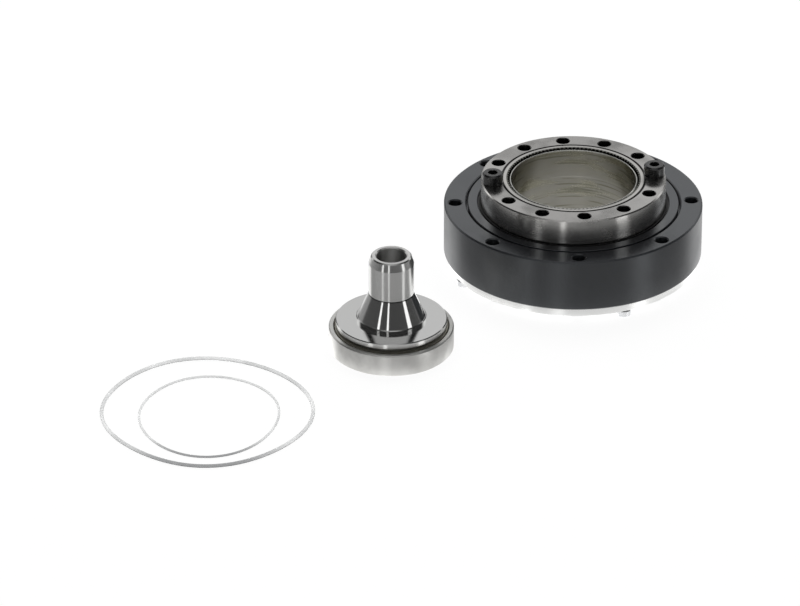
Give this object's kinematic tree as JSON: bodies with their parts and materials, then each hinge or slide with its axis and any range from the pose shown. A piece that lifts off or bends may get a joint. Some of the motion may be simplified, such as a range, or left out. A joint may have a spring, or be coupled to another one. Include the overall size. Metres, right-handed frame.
{
  "type": "strain wave gear",
  "caption": "Hat-type strain wave gear with crossed roller output bearing; the hubbed wave generator and two O-rings lie beside it.",
  "frame": {"origin": "on the gear axis, in the flexspline flange's mounting face, at the centre of the eight housing bolt holes", "axes": "+Z along the gear axis towards the output side; +X to the right and +Y away from the viewer in the picture"},
  "size_m": [0.1602, 0.1464, 0.0289],
  "materials": {
    "black_steel": "black oxide on turned steel",
    "seal_metal": "blackened sheet steel",
    "seal_rubber": "matt black nitrile rubber",
    "spring_steel": "fine-turned alloy steel with a thin oil film",
    "plated_steel": "zinc plated",
    "bearing_steel": "ground bearing steel",
    "turned_steel": "ground steel",
    "black_screw": "black oxide, worn bright on the edge",
    "spacer_plastic": "natural polyamide",
    "race_steel": "ground bearing steel",
    "polished_steel": "polished steel",
    "cage_plastic": "glass-filled polyamide",
    "o_ring_rubber": "translucent grey silicone, glossy"
  },
  "bodies": {
    "housing": {"outer_ring": "black_steel", "upper_race_ring": "black_steel", "seal_case": "seal_metal", "seal_lip": "seal_rubber", "flexspline": "spring_steel", "flange_screws": "plated_steel"},
    "output": {"inner_ring": "bearing_steel", "circular_spline": "turned_steel", "spline_screws": "black_screw"},
    "rollers": {"rollers_rising": "bearing_steel", "rollers_falling": "bearing_steel", "roller_spacers": "spacer_plastic"},
    "wave_race": {"wave_outer_race": "race_steel"},
    "input": {"wave_plug": "polished_steel", "wave_inner_race": "race_steel"},
    "ball_set": {"wave_balls": "bearing_steel", "ball_cage": "cage_plastic"},
    "large_seal": {"large_o_ring": "o_ring_rubber"},
    "small_seal": {"small_o_ring": "o_ring_rubber"}
  },
  "joints": [
    {"name": "output_spin", "type": "hinge", "parent": "housing", "child": "output", "pos_m": [0, 0, 0.00965], "axis": [0, 0, 1], "continuous": true},
    {"name": "roller_orbit", "type": "hinge", "parent": "housing", "child": "rollers", "pos_m": [0, 0, 0.00965], "axis": [0, 0, 1], "continuous": true},
    {"name": "wave_generator_lift", "type": "slide", "parent": "housing", "child": "wave_race", "axis": [0, 0, 1], "range_m": [0, 0.06]},
    {"name": "input_spin", "type": "hinge", "parent": "wave_race", "child": "input", "pos_m": [-0.0492, -0.0462, 0.0012], "axis": [0, 0, 1], "continuous": true, "deforming": ["wave_outer_race", "wave_balls"]},
    {"name": "ball_orbit", "type": "hinge", "parent": "wave_race", "child": "ball_set", "pos_m": [-0.0492, -0.0462, 0.0012], "axis": [0, 0, 1], "continuous": true},
    {"name": "large_o_ring_lift", "type": "slide", "parent": "housing", "child": "large_seal", "axis": [0, 0, 1], "range_m": [0, 0.03]},
    {"name": "small_o_ring_lift", "type": "slide", "parent": "housing", "child": "small_seal", "axis": [0, 0, 1], "range_m": [0, 0.03]}
  ],
  "couplings": [
    {"joint": "roller_orbit", "follows": "output_spin", "ratio": 0.4793},
    {"joint": "ball_orbit", "follows": "input_spin", "ratio": 0.4452}
  ]
}
